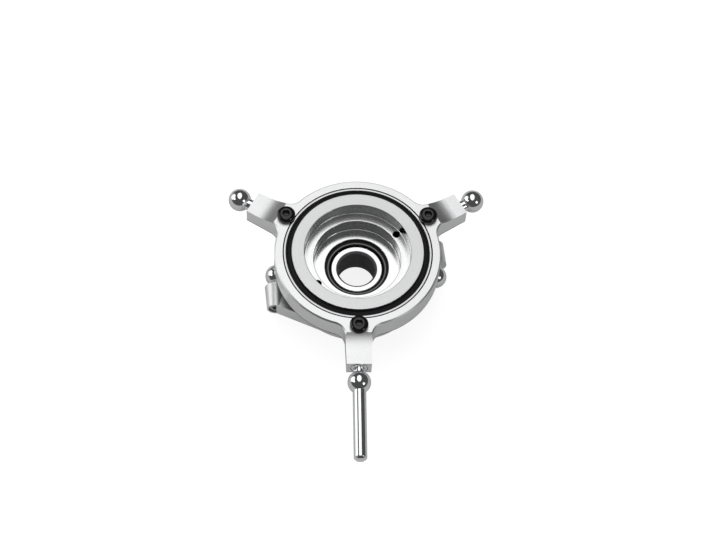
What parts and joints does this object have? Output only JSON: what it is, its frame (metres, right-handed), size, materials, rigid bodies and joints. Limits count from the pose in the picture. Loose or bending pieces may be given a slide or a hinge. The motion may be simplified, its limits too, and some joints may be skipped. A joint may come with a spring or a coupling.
{
  "type": "helicopter swashplate",
  "caption": "Helicopter swashplate: a turning plate and a fixed ring joined by a thin ball bearing, tilting on a ball with a mast bore, with link balls and a guide pin.",
  "frame": {"origin": "centre of the pivot ball, on the axis of the mast bore", "axes": "+Z along the mast bore, from the plate that turns with the rotor towards the fixed ring, which faces up as the part lies on its foot and down on the helicopter; -Y along the guide pin; X through the balls of the two rotor links"},
  "size_m": [0.0556, 0.0646, 0.0157],
  "materials": {
    "ring_aluminium": "finely turned and milled, clear anodised",
    "plate_aluminium": "finely turned and milled, clear anodised",
    "nut_aluminium": "finely turned, clear anodised",
    "bearing_steel": "ground bearing steel",
    "cage_plastic": "moulded nylon",
    "seal_rubber": "matt black",
    "seat_plastic": "moulded acetal, satin",
    "pivot_steel": "ground and polished",
    "polished_steel": "mirror polished",
    "black_steel": "black oxide"
  },
  "bodies": {
    "mast_ball": {"pivot_ball": "pivot_steel"},
    "ball_seat": {"ball_seat_upper": "seat_plastic", "ball_seat_lower": "seat_plastic"},
    "rotating_half": {"rotating_plate": "plate_aluminium", "clamp_nut": "nut_aluminium", "bearing_inner_race": "bearing_steel", "link_ball_left": "polished_steel", "link_ball_right": "polished_steel", "link_screw_left": "black_steel", "link_screw_right": "black_steel"},
    "rolling_set": {"bearing_balls": "bearing_steel", "bearing_cage": "cage_plastic"},
    "stationary_half": {"stationary_ring": "ring_aluminium", "bearing_outer_race": "bearing_steel", "bearing_seal_upper": "seal_rubber", "bearing_seal_lower": "seal_rubber", "race_screw_1": "black_steel", "race_screw_2": "black_steel", "race_screw_3": "black_steel", "servo_ball_left": "polished_steel", "servo_ball_right": "polished_steel", "guide_pin_ball": "polished_steel"}
  },
  "joints": [
    {"name": "tilt", "type": "hinge", "parent": "mast_ball", "child": "ball_seat", "pos_m": [0, 0, 0], "axis": [1, 0, 0], "range_deg": [-15, 15]},
    {"name": "rotor_turn", "type": "hinge", "parent": "ball_seat", "child": "rotating_half", "pos_m": [0, 0, 0], "axis": [0, 0, 1], "continuous": true},
    {"name": "ring_turn", "type": "hinge", "parent": "rotating_half", "child": "stationary_half", "pos_m": [0, 0, 0.0088], "axis": [0, 0, 1], "continuous": true},
    {"name": "bearing_roll", "type": "hinge", "parent": "rotating_half", "child": "rolling_set", "pos_m": [0, 0, 0.0088], "axis": [0, 0, 1], "continuous": true}
  ],
  "couplings": [
    {"joint": "bearing_roll", "follows": "ring_turn", "ratio": 0.53509}
  ]
}
